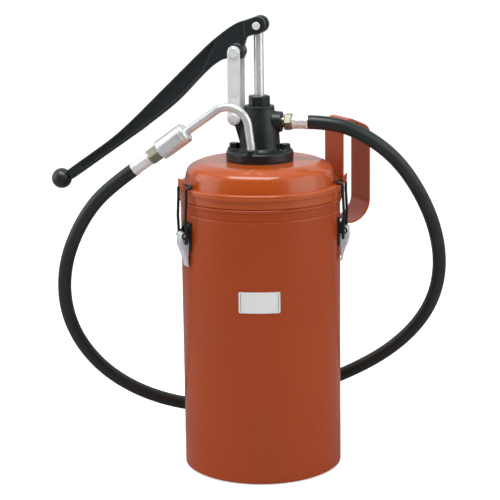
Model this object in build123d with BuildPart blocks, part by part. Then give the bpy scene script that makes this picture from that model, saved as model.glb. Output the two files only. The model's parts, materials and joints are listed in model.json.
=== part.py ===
# Hand-lever gear oil pump on a latched bucket.
# Millimetres. +Z is up, the bucket axis is the Z axis, and the bucket stands on Z = 0.
# The lever points along -X and the outlet along +X.
from math import atan2, cos, degrees, pi, radians, sin, tan

import os

from build123d import *

os.makedirs("parts", exist_ok=True)

# ---------------------------------------------------------------- driving dimensions

# Bucket
bucket_radius = 114.5
bucket_height = 398.0
sheet = 1.5
base_edge_height = 3.0
base_corner_radius = 5.0
rim_inset = 2.2
rim_height = 12.5
bead_radius = 2.9
bead_proud = 1.3
groove_below_rim = 17.0
groove_depth = 0.8
groove_radius = 4.0

# Lid
skirt_clearance = 1.5
seam_gap = 0.7
skirt_height = 10.5
lid_bead_proud = 2.6
lid_bead_height = 9.0
dome_foot_inset = 6.0
dome_height = 31.0
dome_shoulder_inset = 13.9
dome_shoulder_drop = 8.0
dome_shoulder_fillet = 14.0
dome_crown_inset = 31.9
dome_crown_fillet = 30.0

# Pump head casting
flange_radius = 48.3
flange_thickness = 13.0
column_foot_radius = 29.5
column_top_radius = 21.5
column_height = 72.0
collar_height = 5.0
bolt_circle_radius = 37.0
bolt_boss_radius = 10.0
bolt_boss_height = 3.0
bolt_angles = (0.0, 95.0, 180.0)
bolt_diameter = 8.0
bolt_clearance = 0.5
bolt_head_height = 5.5
bolt_head_flats = 13.0
washer_thickness = 1.6
washer_radius = 8.0
gasket_thickness = 1.5
socket_radius = 9.5
socket_height = 6.0
chamber_radius = 14.0
outlet_height = 54.0
outlet_boss_radius = 14.5
outlet_face = 33.0
outlet_bore_radius = 6.0
ear_half_width = 12.0
ear_radius = 11.0

# Rod, packing and gland
rod_radius = 6.85
rod_eye_end = 10.0
rod_engagement = 14.0
running_clearance = 0.06
packing_radius = 11.0
packing_length = 12.0
gland_flats = 27.0
gland_height = 14.5
gland_nose_length = 5.0

# Lever linkage, with heights above the head's base or from the rod pin
stroke = 42.0
rod_pin_above_head = 190.3
pin_radius = 5.0
fulcrum_x = -30.0
fulcrum_drop = 37.0
link_base_x = -33.5
link_base_above_head = 59.3
link_thickness = 5.0
link_width = 18.0
link_side_gap = 0.5
fulcrum_play = 3.3
fulcrum_pin_shift_x = -2.96
fulcrum_pin_shift_z = -0.26
lever_half_width = 9.0
lever_web_half = 5.5
lever_rim = 3.4
fork_half_width = 15.0
fork_slot_clearance = 0.6
ball_radius = 14.8
ball_x = -297.7
ball_drop = 225.7
fork_eye_radius = 12.4
fork_side_room = 7.2
pin_head_height = 2.5
pin_head_radius = 7.0
pin_tail = 3.5
pin_edge_round = 1.0
clip_thickness = 1.2
clip_gap = 0.3
clip_rim = 2.5
clip_mouth = 2.4

# Pump tube, piston and foot valve
tube_radius = 19.0
tube_wall = 2.0
tube_engagement = 14.0
foot_gap = 14.0
foot_body_radius = 22.5
foot_body_height = 30.0
foot_seat_radius = 6.0
foot_ball_radius = 9.0
foot_seat_depth = 6.0
foot_ball_lift = 3.0
piston_body_radius = 16.4
piston_body_length = 34.0
piston_cup_height = 9.0
piston_cup_clearance = 0.08
piston_nut_height = 8.0
piston_seat_radius = 4.5
piston_ball_radius = 6.5
piston_floor_gap = 12.0
piston_ball_room = 1.0
foot_ball_room = 2.0
foot_thread = 10.0
strainer_height = 12.0
strainer_wall = 1.2
strainer_slots = 12
stop_pin_radius = 1.5
stop_pin_gap = 0.3

# Hose and its fittings
hose_radius = 10.0
ferrule_radius = 10.2
ferrule_length = 24.0
ferrule_bore_radius = 4.0
nut_length = 10.0
nut_flats = 22.0
nipple_radius = 8.0
nipple_length = 3.8
nipple_engagement = 10.0
sleeve_radius = 15.0
sleeve_length = 49.0
nozzle_radius = 5.8
nozzle_bore_radius = 3.8
nozzle_x = -4.5
nozzle_y = -38.0
nozzle_fillet = 30.0
nozzle_knee_fillet = 25.0
nozzle_knee_rise = 4.0
nozzle_rise = 89.0
nozzle_lean = 10.0
nozzle_pitch = 35.5
nozzle_reach = 101.7
nozzle_nut_length = 16.0
nozzle_ferrule_length = 32.0

# Latches
latch_angles = {"right": 0.0, "left": 218.0, "rear": 109.0}
latch_pivot_out = 8.5
latch_pivot_below_top = 46.0
latch_throw = 11.0
latch_over_centre = 6.0
latch_pin_radius = 2.5
latch_cheek_half = 8.0
latch_sheet = 2.0
latch_tip_drop = 45.0
bail_radius = 2.0
bail_half_width = 13.5
bail_corner = 4.0
bail_hook_inset = 5.1
bail_hook_bend = 3.0
bail_neck_proud = 4.0
bail_neck_drop = 11.2
bail_neck_rise = 1.0
bail_bow_out = 1.7
bail_bow_rise = 37.0
bail_bow_bends = (60.0, 40.0)
bail_gap = 0.6
lug_half_width = 8.0
lug_foot_inset = 7.2
lug_pad = 0.8
lug_lip_proud = 3.6
lug_lip_sheet = 2.8
lug_lip_rise = 12.8
latch_rivet_edge = 5.0
latch_rivet_radius = 3.0
latch_rivet_height = 1.4
rivet_taper = 35.0
latch_base_half_width = 12.0
latch_base_plate = 2.0
latch_base_drop = 22.0
latch_base_rise = 18.0
latch_ear_gap = 0.6
latch_ear_sheet = 1.5
latch_ear_radius = 5.0

# Carry handle
handle_angle = 40.2
strap_width = 50.0
strap = 3.0
handle_stand_off = 9.1
handle_reach = 45.0
handle_top_above_rim = 108.0
handle_slope = 20.0
handle_bottom_drop = 50.0
handle_foot_drop = 98.0
handle_rivet_rows = 2
handle_rivet_pitch = 14.0
handle_rivet_side = 12.0
handle_rivet_radius = 4.0
handle_rivet_height = 2.0

# Label
label_width = 58.0
label_height = 30.0
label_below_top = 131.0
label_corner_radius = 2.0
label_thickness = 0.6
label_angle = 280.5

# ---------------------------------------------------------------- shared values

through = 40.0
inner_radius = bucket_radius - sheet
rim_radius = bucket_radius - rim_inset
rim_top = bucket_height + rim_height
skirt_inner = rim_radius + skirt_clearance
skirt_outer = skirt_inner + sheet
skirt_bottom = bucket_height + seam_gap
lid_bead_bottom = skirt_bottom + skirt_height
lid_bead_top = lid_bead_bottom + lid_bead_height
lid_bead_radius = skirt_outer + lid_bead_proud
dome_shoulder_radius = lid_bead_radius - dome_shoulder_inset
dome_crown_radius = lid_bead_radius - dome_crown_inset
dome_foot_radius = skirt_outer - dome_foot_inset
lid_top = lid_bead_top + dome_height
head_base = lid_top + gasket_thickness
flange_top = head_base + flange_thickness
column_top = head_base + column_height
collar_top = column_top + collar_height
outlet_z = head_base + outlet_height
rod_bore = rod_radius + running_clearance
tube_bore = tube_radius - tube_wall
tube_top = head_base + tube_engagement
tube_bottom = foot_gap + strainer_height + foot_body_height / 2
link_inner = ear_half_width + link_side_gap
link_outer = link_inner + link_thickness
rod_pin_height = head_base + rod_pin_above_head
link_base_height = head_base + link_base_above_head
fulcrum_z = rod_pin_height - fulcrum_drop
ball_z = rod_pin_height - ball_drop
link_top_x = fulcrum_x + fulcrum_pin_shift_x
link_top_z = fulcrum_z + fulcrum_pin_shift_z
pin_bore = pin_radius + running_clearance
foot_bottom = foot_gap + strainer_height
foot_seat_z = foot_bottom + foot_seat_depth
foot_ball_z = foot_seat_z + (foot_ball_radius**2 - foot_seat_radius**2) ** 0.5 + running_clearance
stop_pin_z = foot_ball_z + foot_ball_radius + foot_ball_lift + stop_pin_radius + stop_pin_gap
piston_lowest = stop_pin_z + stop_pin_radius + piston_floor_gap
nut_bottom = piston_lowest + stroke
body_bottom = nut_bottom + piston_nut_height
piston_top = body_bottom + piston_body_length
rod_bottom = piston_top - rod_engagement
rod_length = rod_pin_height + rod_eye_end - rod_bottom
latch_pivot_height = bucket_height - latch_pivot_below_top
latch_tip_height = latch_pivot_height - latch_tip_drop
latch_base_bottom = latch_pivot_height - latch_base_drop
latch_base_top = latch_pivot_height + latch_base_rise
bail_hook_out = lid_bead_radius - bail_hook_inset
bail_hook_height = lid_bead_top + lug_pad + bail_gap + bail_radius
handle_top = bucket_height + handle_top_above_rim
handle_bottom = bucket_height - handle_bottom_drop
handle_foot = bucket_height - handle_foot_drop
label_middle = bucket_height - label_below_top


def radial_plane(angle):
    """Upright plane through the bucket axis: local X points outward, local Y up."""
    a = radians(angle)
    return Plane(origin=(0, 0, 0), x_dir=(cos(a), sin(a), 0), z_dir=(sin(a), -cos(a), 0))


def tangent_plane(angle, distance, height=0.0):
    """Plane facing outward at a distance from the bucket axis: local Y is up."""
    a = radians(angle)
    out = Vector(cos(a), sin(a), 0)
    return Plane(
        origin=(out.X * distance, out.Y * distance, height),
        x_dir=(-sin(a), cos(a), 0),
        z_dir=(cos(a), sin(a), 0),
    )


def inset_points(curve, places, amount):
    """Points beside a flat curve, moved square to it by the amount."""
    points = []
    for place in places:
        along = curve % place
        points.append(curve @ place + Vector(-along.Y, along.X) * amount)
    return points


def save(builder, name):
    """Label one finished piece and write it out under its own name."""
    builder.part.label = name
    export_step(builder.part, f"parts/{name}.step")


# ---------------------------------------------------------------- bucket

# Rolled sheet wall with a necked rim, a bead just below the rim and a shallow rolled groove.
groove_z = bucket_height - groove_below_rim
with BuildPart() as bucket_shell:
    with BuildSketch(Plane.XZ):
        with BuildLine():
            Polyline(
                (bucket_radius, base_edge_height),
                (bucket_radius, bucket_height),
                (rim_radius, bucket_height),
                (rim_radius, rim_top),
                (rim_radius - sheet, rim_top),
                (rim_radius - sheet, bucket_height - 4),
                (inner_radius, bucket_height - 9),
                (inner_radius, base_edge_height),
                close=True,
            )
        make_face()
    revolve(axis=Axis.Z)
    with BuildSketch(Plane.XZ):
        with Locations((bucket_radius + bead_proud - bead_radius, bucket_height - 3.4)):
            Circle(bead_radius)
        with Locations((0, bucket_height - 3.4)):
            Rectangle(2 * (bucket_radius - 1), 4 * bead_radius, mode=Mode.SUBTRACT)
    revolve(axis=Axis.Z)
    with BuildSketch(Plane.XZ):
        with Locations((bucket_radius + groove_radius - groove_depth, groove_z)):
            Circle(groove_radius)
    revolve(axis=Axis.Z, mode=Mode.SUBTRACT)
save(bucket_shell, "bucket_shell")

# Drawn base pan, pressed up inside the wall.
pan_radius = inner_radius
pan_height = 14.0
with BuildPart() as bucket_base:
    with BuildSketch(Plane.XY):
        Circle(pan_radius)
    extrude(amount=pan_height)
    fillet(bucket_base.edges().group_by(Axis.Z)[0], base_corner_radius)
    offset(amount=-sheet, openings=bucket_base.faces().sort_by(Axis.Z)[-1])
save(bucket_base, "bucket_base")

# Curved blank label plate on the front of the bucket.
with BuildPart() as label_plate:
    with BuildSketch(Plane.XY.offset(label_middle - label_height / 2)):
        Circle(bucket_radius + label_thickness)
        Circle(bucket_radius, mode=Mode.SUBTRACT)
    extrude(amount=label_height)
    with BuildSketch(tangent_plane(label_angle, bucket_radius - label_height, label_middle)):
        RectangleRounded(label_width, label_height, label_corner_radius)
    extrude(amount=2 * label_height, mode=Mode.INTERSECT)
save(label_plate, "label_plate")

# ---------------------------------------------------------------- lid

# Domed lid: skirt over the rim, rolled bead that holds the gasket, sloping side, crowned top.
with BuildPart() as lid_dome:
    with BuildSketch(Plane.XZ):
        with BuildLine():
            Polyline(
                (0, lid_top),
                (dome_crown_radius, lid_top),
                (dome_shoulder_radius, lid_top - dome_shoulder_drop),
                (dome_foot_radius, lid_bead_top),
                (lid_bead_radius, lid_bead_top),
                (lid_bead_radius, lid_bead_bottom),
                (skirt_outer, lid_bead_bottom),
                (skirt_outer, skirt_bottom),
                (skirt_inner, skirt_bottom),
                (skirt_inner, lid_bead_bottom + sheet),
                (lid_bead_radius - sheet, lid_bead_bottom + sheet),
                (lid_bead_radius - sheet, lid_bead_top - sheet),
                (dome_foot_radius - sheet, lid_bead_top - sheet),
                (dome_shoulder_radius - 2 * sheet, lid_top - dome_shoulder_drop - sheet),
                (dome_crown_radius, lid_top - sheet),
                (0, lid_top - sheet),
                close=True,
            )
        make_face()
    revolve(axis=Axis.Z)
    lid_circles = lid_dome.edges().filter_by(GeomType.CIRCLE)
    bead_edges = lid_circles.filter_by(lambda e: abs(e.radius - lid_bead_radius) < 0.01)
    fillet(bead_edges, lid_bead_proud * 0.9)
    lid_circles = lid_dome.edges().filter_by(GeomType.CIRCLE)
    shoulder = lid_circles.filter_by(lambda e: abs(e.radius - dome_shoulder_radius) < 0.01)
    fillet(shoulder, dome_shoulder_fillet)
    lid_circles = lid_dome.edges().filter_by(GeomType.CIRCLE)
    shoulder_in = lid_circles.filter_by(lambda e: abs(e.radius - dome_shoulder_radius + 2 * sheet) < 0.01)
    fillet(shoulder_in, dome_shoulder_fillet - sheet)
    lid_circles = lid_dome.edges().filter_by(GeomType.CIRCLE)
    crown = lid_circles.filter_by(lambda e: abs(e.radius - dome_crown_radius) < 0.01)
    fillet(crown, dome_crown_fillet)
    with BuildSketch(Plane.XY.offset(lid_top - 2 * sheet)):
        Circle(tube_radius + 1)
        for angle in bolt_angles:
            with Locations(Vector(bolt_circle_radius, 0).rotate(Axis.Z, angle)):
                Circle(bolt_diameter / 2 + bolt_clearance)
    extrude(amount=4 * sheet, mode=Mode.SUBTRACT)
save(lid_dome, "lid_dome")

# Rubber ring in the lid bead, squeezed by the bucket rim.
gasket_top = lid_bead_top - sheet
with BuildPart() as lid_gasket:
    with BuildSketch(Plane.XY.offset(rim_top)):
        Circle(skirt_inner - 0.2)
        Circle(rim_radius - 2 * sheet, mode=Mode.SUBTRACT)
    extrude(amount=gasket_top - rim_top)
    fillet(lid_gasket.edges(), 0.8)
save(lid_gasket, "lid_gasket")

# Steel ring under the lid that the head bolts screw into.
backing_thickness = 6.0
with BuildPart() as backing_ring:
    with BuildSketch(Plane.XY.offset(lid_top - sheet - backing_thickness)):
        Circle(flange_radius)
        Circle(tube_radius + 4, mode=Mode.SUBTRACT)
        for angle in bolt_angles:
            with Locations(Vector(bolt_circle_radius, 0).rotate(Axis.Z, angle)):
                Circle(bolt_diameter / 2, mode=Mode.SUBTRACT)
    extrude(amount=backing_thickness)
save(backing_ring, "backing_ring")

# Lugs on the lid bead: a pad under each bail and an upright lip outside it.
lug_foot = lid_bead_radius - lug_foot_inset
lip_inner = lid_bead_radius + lug_lip_proud
lip_outer = lip_inner + lug_lip_sheet
with BuildPart() as lid_lugs:
    for angle in latch_angles.values():
        with BuildSketch(radial_plane(angle)):
            with BuildLine():
                Polyline(
                    (lug_foot, lid_bead_top),
                    (lip_inner + 0.2, lid_bead_top),
                    (lip_outer, lid_bead_top + lug_lip_sheet),
                    (lip_outer + 0.7, lid_bead_top + lug_lip_rise),
                    (lip_inner + 2.3, lid_bead_top + lug_lip_rise + 1.3),
                    (lip_inner + 0.9, lid_bead_top + lug_lip_rise),
                    (lip_inner, lid_bead_top + 3 * lug_pad),
                    (lip_inner - 1.2, lid_bead_top + lug_pad),
                    (lug_foot, lid_bead_top + lug_pad),
                    close=True,
                )
            make_face()
        extrude(amount=lug_half_width, both=True)
save(lid_lugs, "lid_lugs")

# ---------------------------------------------------------------- pump head

# Flat gasket between the lid and the flange.
with BuildPart() as head_gasket:
    with BuildSketch(Plane.XY.offset(lid_top)):
        Circle(flange_radius - 0.5)
        Circle(tube_radius + 1, mode=Mode.SUBTRACT)
        for angle in bolt_angles:
            with Locations(Vector(bolt_circle_radius, 0).rotate(Axis.Z, angle)):
                Circle(bolt_diameter / 2 + bolt_clearance, mode=Mode.SUBTRACT)
    extrude(amount=gasket_thickness)
save(head_gasket, "head_gasket")

# Cast body: flange with bolt bosses, tapered column, outlet boss, link ear and nozzle socket.
with BuildPart() as pump_head:
    with BuildSketch(Plane.XY.offset(head_base)):
        Circle(flange_radius)
    extrude(amount=flange_thickness)
    fillet(pump_head.edges().group_by(Axis.Z)[-1], 3)
    with BuildSketch(Plane.XY.offset(head_base)):
        for angle in bolt_angles:
            with Locations(Vector(bolt_circle_radius, 0).rotate(Axis.Z, angle)):
                Circle(bolt_boss_radius)
    extrude(amount=flange_thickness + bolt_boss_height)
    with BuildSketch(Plane.XY.offset(head_base)):
        with Locations((nozzle_x, nozzle_y)):
            Circle(socket_radius)
    extrude(amount=flange_thickness + socket_height)
    with BuildSketch(Plane.XZ):
        with BuildLine():
            Polyline(
                (0, head_base),
                (column_foot_radius + 4, head_base),
                (column_foot_radius + 4, flange_top),
                (column_foot_radius, flange_top + 4),
                (column_foot_radius - 1.5, head_base + column_height * 0.55),
                (column_top_radius, column_top),
                (column_top_radius, collar_top),
                (0, collar_top),
                close=True,
            )
        make_face()
    revolve(axis=Axis.Z)
    with BuildSketch(Plane.YZ.offset(outlet_face)):
        with Locations((0, outlet_z)):
            Circle(outlet_boss_radius)
    extrude(amount=-outlet_face, taper=-4)
    with BuildSketch(Plane.XZ):
        with BuildLine():
            Polyline(
                (link_base_x, link_base_height + ear_radius),
                (0, column_top),
                (0, flange_top + 8),
                (-column_foot_radius + 4, flange_top + 8),
                (link_base_x, link_base_height - ear_radius),
                close=True,
            )
        make_face()
        with Locations((link_base_x, link_base_height)):
            Circle(ear_radius)
    extrude(amount=ear_half_width, both=True)
    with BuildSketch(Plane.XZ):
        with Locations((link_base_x, link_base_height)):
            Circle(pin_radius)
    extrude(amount=ear_half_width + 5, both=True, mode=Mode.SUBTRACT)
    with BuildSketch(Plane.XZ):
        with BuildLine():
            Polyline(
                (0, head_base),
                (tube_radius, head_base),
                (tube_radius, tube_top),
                (chamber_radius, tube_top),
                (chamber_radius, column_top - packing_length),
                (rod_bore, column_top - packing_length),
                (rod_bore, column_top - packing_length + 3),
                (packing_radius, column_top - packing_length + 3),
                (packing_radius, collar_top),
                (0, collar_top),
                close=True,
            )
        make_face()
    revolve(axis=Axis.Z, mode=Mode.SUBTRACT)
    with BuildSketch(Plane.YZ):
        with Locations((0, outlet_z)):
            Circle(outlet_bore_radius)
    extrude(amount=outlet_face + 1, mode=Mode.SUBTRACT)
    with BuildSketch(Plane.XY.offset(head_base)):
        for angle in bolt_angles:
            with Locations(Vector(bolt_circle_radius, 0).rotate(Axis.Z, angle)):
                Circle(bolt_diameter / 2 + bolt_clearance)
    extrude(amount=flange_thickness + bolt_boss_height, mode=Mode.SUBTRACT)
    with BuildSketch(Plane.XY.offset(flange_top + bolt_boss_height)):
        for angle in bolt_angles:
            with Locations(Vector(bolt_circle_radius, 0).rotate(Axis.Z, angle)):
                Circle(washer_radius + 0.5)
    extrude(amount=20, mode=Mode.SUBTRACT)
    with BuildSketch(Plane.XY.offset(head_base + flange_thickness / 2)):
        with Locations((nozzle_x, nozzle_y)):
            Circle(nozzle_radius + running_clearance)
    extrude(amount=flange_thickness + socket_height, mode=Mode.SUBTRACT)
save(pump_head, "pump_head")

# Flange bolts with plain washers.
bolt_seat = flange_top + bolt_boss_height
with BuildPart() as head_washers:
    with BuildSketch(Plane.XY.offset(bolt_seat)):
        for angle in bolt_angles:
            with Locations(Vector(bolt_circle_radius, 0).rotate(Axis.Z, angle)):
                Circle(washer_radius)
                Circle(bolt_diameter / 2 + bolt_clearance, mode=Mode.SUBTRACT)
    extrude(amount=washer_thickness)
save(head_washers, "head_washers")

bolt_bottom = lid_top - sheet - backing_thickness
with BuildPart() as head_bolts:
    for angle in bolt_angles:
        spot = Vector(bolt_circle_radius, 0).rotate(Axis.Z, angle)
        with BuildSketch(Plane.XY.offset(bolt_bottom)):
            with Locations(spot):
                Circle(bolt_diameter / 2)
        extrude(amount=bolt_seat + washer_thickness - bolt_bottom)
        with BuildSketch(Plane.XY.offset(bolt_seat + washer_thickness)):
            with Locations(spot):
                RegularPolygon(bolt_head_flats / 2, 6, major_radius=False)
        extrude(amount=bolt_head_height)
    chamfer(head_bolts.faces().group_by(Axis.Z)[-1].edges(), 0.8)
save(head_bolts, "head_bolts")

# Packing rings round the rod, squeezed by the gland nut.
packing_bottom = column_top - packing_length + 3
gland_nose_bottom = collar_top - gland_nose_length
with BuildPart() as rod_packing:
    with BuildSketch(Plane.XY.offset(packing_bottom)):
        Circle(packing_radius)
        Circle(rod_bore, mode=Mode.SUBTRACT)
    extrude(amount=gland_nose_bottom - packing_bottom)
save(rod_packing, "rod_packing")

with BuildPart() as gland_nut:
    with BuildSketch(Plane.XY.offset(gland_nose_bottom)):
        Circle(packing_radius)
    extrude(amount=gland_nose_length)
    with BuildSketch(Plane.XY.offset(collar_top)):
        RegularPolygon(gland_flats / 2, 6, major_radius=False)
    extrude(amount=gland_height)
    chamfer(gland_nut.faces().sort_by(Axis.Z)[-1].edges(), 1.5)
    with BuildSketch(Plane.XY.offset(gland_nose_bottom)):
        Circle(rod_bore)
    extrude(amount=gland_nose_length + gland_height, mode=Mode.SUBTRACT)
save(gland_nut, "gland_nut")

# ---------------------------------------------------------------- plunger and linkage

# Plunger rod: flattened eye inside the lever fork, threaded foot in the piston.
rod_pin_radius = pin_radius - 1
with BuildPart() as plunger_rod:
    with BuildSketch(Plane.XY.offset(rod_bottom)):
        Circle(rod_radius)
    extrude(amount=rod_length)
    fillet(plunger_rod.edges().group_by(Axis.Z)[-1], 4)
    with BuildSketch(Plane.XZ):
        with Locations((0, rod_pin_height)):
            Circle(rod_pin_radius)
    extrude(amount=through, both=True, mode=Mode.SUBTRACT)
save(plunger_rod, "plunger_rod")

# Pin through the rod eye and the lever fork, with a head at the front and a clip at the back.
with BuildPart() as rod_pin:
    with BuildSketch(Plane.XZ.offset(-fork_half_width - pin_tail)):
        with Locations((0, rod_pin_height)):
            Circle(rod_pin_radius)
    extrude(amount=2 * fork_half_width + pin_tail + clip_gap)
    with BuildSketch(Plane.XZ.offset(fork_half_width + clip_gap)):
        with Locations((0, rod_pin_height)):
            Circle(pin_head_radius - 1.5)
    extrude(amount=pin_head_height)
    fillet(rod_pin.faces().sort_by(Axis.Y)[0].edges(), pin_edge_round)
save(rod_pin, "rod_pin")

# Cast lever, drawn from its rod pin: fork over the rod, fulcrum boss, ribbed arm and ball end.
lever_origin = Plane.XZ.shift_origin((0, 0, rod_pin_height))
with BuildPart() as lever_casting:
    with BuildSketch(lever_origin) as lever_outline:
        with BuildLine():
            upper = Spline(
                (-26, 5),
                (-45, -6),
                (-71, -26.5),
                (-96, -50),
                (-146, -98),
                (-204, -152.5),
                (-288, -213.5),
                tangents=((-1, -0.42), (-0.81, -0.58)),
            )
            Line((3.5, 12.6), (-26, 5))
            RadiusArc((3.5, 12.6), (5.5, -9.4), 12.2)
            Polyline((5.5, -9.4), (-7, -12), (-17.5, -18), (-21, -29))
            Polyline((-21, -29), (-19.5, -37), (-21.5, -47), (-41, -46.5))
            lower = Spline(
                (-41, -46.5),
                (-56, -51),
                (-72, -62.5),
                (-100, -90.5),
                (-125, -114.5),
                (-174, -152),
                (-280, -226),
                tangents=((-1, -0.05), (-0.82, -0.57)),
            )
            Line(upper @ 1, lower @ 1)
        make_face()
    extrude(amount=lever_half_width, both=True)
    pocket_places = (0.13, 0.3, 0.5, 0.7, 0.93)
    pocket_top = inset_points(upper, pocket_places, lever_rim)
    pocket_bottom = inset_points(lower, pocket_places, -lever_rim)
    for side in (1, -1):
        with BuildSketch(lever_origin.offset(side * lever_half_width)):
            with BuildLine():
                Spline(*pocket_top)
                Spline(*pocket_bottom)
                Line(pocket_top[0], pocket_bottom[0])
                Line(pocket_top[-1], pocket_bottom[-1])
            make_face()
        extrude(amount=-side * (lever_half_width - lever_web_half), mode=Mode.SUBTRACT)
    with BuildSketch(Plane.XZ):
        with Locations((fulcrum_x, fulcrum_z)):
            Circle(ear_radius)
    extrude(amount=ear_half_width, both=True)
    with BuildSketch(lever_origin):
        with Locations((0.6, 0.8)):
            Circle(fork_eye_radius)
        with BuildLine():
            Polyline((0, 12.6), (-18, 7.4), (-18, -16.5), (0, -11.5), close=True)
        make_face()
    extrude(amount=fork_half_width, both=True)
    with BuildSketch(lever_origin):
        with Locations((-rod_radius - fork_side_room, -4)):
            Rectangle(through, through, align=(Align.MIN, Align.CENTER))
    extrude(amount=rod_radius + fork_slot_clearance, both=True, mode=Mode.SUBTRACT)
    with Locations((ball_x, 0, ball_z)):
        Sphere(ball_radius)
    with BuildSketch(Plane.XZ):
        with Locations((0, rod_pin_height)):
            Circle(rod_pin_radius + running_clearance)
        with Locations((fulcrum_x, fulcrum_z)):
            Circle(pin_radius + fulcrum_play)
    extrude(amount=through, both=True, mode=Mode.SUBTRACT)
save(lever_casting, "lever_casting")

# Flat links on both sides of the fulcrum boss and the head's ear.
for name, side in (("link_near", 1), ("link_far", -1)):
    with BuildPart() as link_plate:
        with BuildSketch(Plane.XZ.offset(side * link_inner)):
            with BuildLine():
                link_axis = Line((link_base_x, link_base_height), (link_top_x, link_top_z))
            with Locations(link_axis @ 0.5):
                SlotCenterToCenter(
                    link_axis.length,
                    link_width,
                    rotation=degrees(atan2(link_top_z - link_base_height, link_top_x - link_base_x)),
                )
            with Locations((link_base_x, link_base_height)):
                Circle(pin_bore, mode=Mode.SUBTRACT)
            with Locations((link_top_x, link_top_z)):
                Circle(pin_radius, mode=Mode.SUBTRACT)
        extrude(amount=side * link_thickness)
        chamfer(link_plate.faces().filter_by(Axis.Y).edges().filter_by(GeomType.LINE), 0.6)
    save(link_plate, name)

# Headed pins: one pressed through the links, one pressed through the head's ear.
for name, spot in (
    ("fulcrum_pin", (link_top_x, link_top_z)),
    ("link_base_pin", (link_base_x, link_base_height)),
):
    with BuildPart() as headed_pin:
        with BuildSketch(Plane.XZ.offset(-link_outer - pin_tail)):
            with Locations(spot):
                Circle(pin_radius)
        extrude(amount=2 * link_outer + pin_tail + clip_gap)
        with BuildSketch(Plane.XZ.offset(link_outer + clip_gap)):
            with Locations(spot):
                Circle(pin_head_radius)
        extrude(amount=pin_head_height)
        fillet(headed_pin.faces().sort_by(Axis.Y)[0].edges(), pin_edge_round)
    save(headed_pin, name)

# Spring clips on the far ends of the three pins.
for name, spot, seat, bore in (
    ("rod_pin_clip", (0, rod_pin_height), fork_half_width, rod_pin_radius),
    ("fulcrum_pin_clip", (link_top_x, link_top_z), link_outer, pin_radius),
    ("link_base_pin_clip", (link_base_x, link_base_height), link_outer, pin_radius),
):
    with BuildPart() as pin_clip:
        with BuildSketch(Plane.XZ.offset(-seat - clip_gap)):
            with Locations(spot):
                Circle(bore + clip_rim)
                Circle(bore, mode=Mode.SUBTRACT)
            with Locations((spot[0] + bore + clip_rim / 2, spot[1])):
                Rectangle(2 * clip_rim, clip_mouth, mode=Mode.SUBTRACT)
        extrude(amount=-clip_thickness)
    save(pin_clip, name)

# ---------------------------------------------------------------- pump tube and valves

with BuildPart() as pump_tube:
    with BuildSketch(Plane.XY.offset(tube_bottom)):
        Circle(tube_radius)
        Circle(tube_bore, mode=Mode.SUBTRACT)
    extrude(amount=tube_top - tube_bottom)
    with BuildSketch(Plane.YZ):
        with Locations((0, stop_pin_z)):
            Circle(stop_pin_radius)
    extrude(amount=tube_radius + 1, both=True, mode=Mode.SUBTRACT)
save(pump_tube, "pump_tube")

# Piston: hollow body on the rod with side ports, leather cup, seat nut and discharge ball.
ball_pocket = piston_ball_radius + piston_ball_room
with BuildPart() as piston_body:
    with BuildSketch(Plane.XY.offset(body_bottom)):
        Circle(piston_body_radius - 4)
    extrude(amount=piston_cup_height)
    with BuildSketch(Plane.XY.offset(body_bottom + piston_cup_height)):
        Circle(piston_body_radius)
    extrude(amount=piston_body_length - piston_cup_height)
    with BuildSketch(Plane.XY.offset(body_bottom)):
        Circle(ball_pocket)
    extrude(amount=rod_bottom - body_bottom, mode=Mode.SUBTRACT)
    with BuildSketch(Plane.XY.offset(rod_bottom)):
        Circle(rod_radius)
    extrude(amount=piston_body_length, mode=Mode.SUBTRACT)
    with BuildSketch(Plane.XY.offset(body_bottom + piston_cup_height)):
        with PolarLocations(piston_body_radius, 4, start_angle=45):
            Rectangle(9, 7)
    extrude(amount=piston_body_length, mode=Mode.SUBTRACT)
    with BuildSketch(Plane.XZ):
        with Locations((0, body_bottom + piston_cup_height + 4)):
            Circle(3)
    ports = extrude(amount=piston_body_radius + 1, both=True, mode=Mode.PRIVATE)
    add(ports.rotate(Axis.Z, 45), mode=Mode.SUBTRACT)
    add(ports.rotate(Axis.Z, 135), mode=Mode.SUBTRACT)
save(piston_body, "piston_body")

with BuildPart() as piston_cup:
    with BuildSketch(Plane.XY.offset(body_bottom)):
        Circle(tube_bore - piston_cup_clearance)
        Circle(piston_body_radius - 4, mode=Mode.SUBTRACT)
    extrude(amount=piston_cup_height)
    chamfer(piston_cup.edges().group_by(Axis.Z)[-1].sort_by(SortBy.RADIUS)[-1], 1.5)
save(piston_cup, "piston_cup")

with BuildPart() as piston_nut:
    with BuildSketch(Plane.XY.offset(nut_bottom)):
        RegularPolygon(piston_body_radius - 1, 6, major_radius=True)
        Circle(piston_seat_radius, mode=Mode.SUBTRACT)
    extrude(amount=piston_nut_height)
save(piston_nut, "piston_nut")

# Both balls rest on the rim of their seat bore.
piston_ball_z = body_bottom + (piston_ball_radius**2 - piston_seat_radius**2) ** 0.5 + running_clearance
with BuildPart() as piston_ball:
    with Locations((0, 0, piston_ball_z)):
        Sphere(piston_ball_radius)
save(piston_ball, "piston_ball")

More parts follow.
